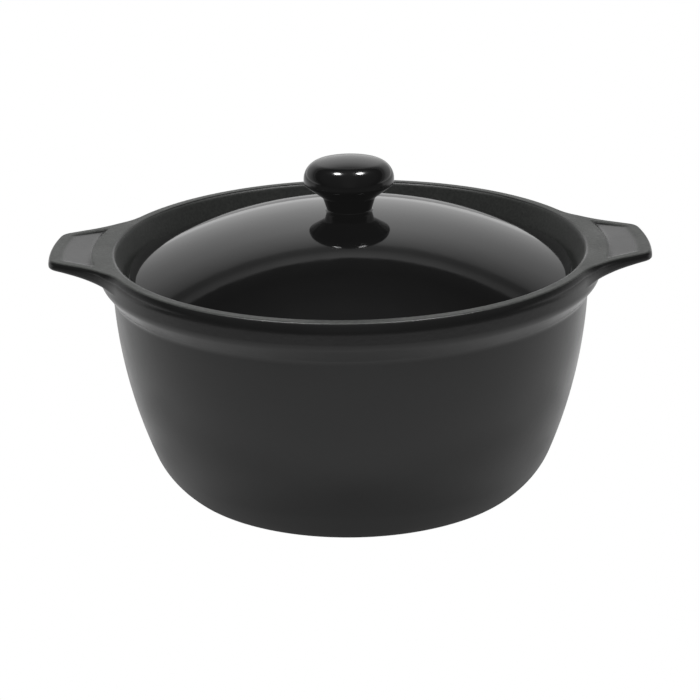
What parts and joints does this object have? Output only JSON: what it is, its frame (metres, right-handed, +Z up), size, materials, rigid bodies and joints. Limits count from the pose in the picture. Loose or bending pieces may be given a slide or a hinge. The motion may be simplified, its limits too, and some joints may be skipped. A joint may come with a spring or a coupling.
{
  "type": "lidded stoneware casserole",
  "caption": "Round black stoneware casserole for slow cooking: bellied pot with lug handles and a ledge inside the rim that carries a domed lift-off lid with a mushroom knob.",
  "frame": {"origin": "centre of the face the pot stands on", "axes": "+Z up, along the pot's axis and the way the lid lifts; +X through the right lug handle; the front is -Y"},
  "size_m": [0.3124, 0.2608, 0.1709],
  "materials": {
    "satin_glaze": "satin black glaze, drier and finely rough on the rim and lug tops",
    "gloss_glaze": "high gloss black glaze",
    "knob_glaze": "high gloss black glaze"
  },
  "bodies": {
    "pot": {"pot": "satin_glaze"},
    "lid": {"lid": "gloss_glaze", "knob": "knob_glaze"}
  },
  "joints": [
    {"name": "lid_lift", "type": "slide", "parent": "pot", "child": "lid", "axis": [0, 0, 1], "range_m": [0, 0.15]}
  ]
}
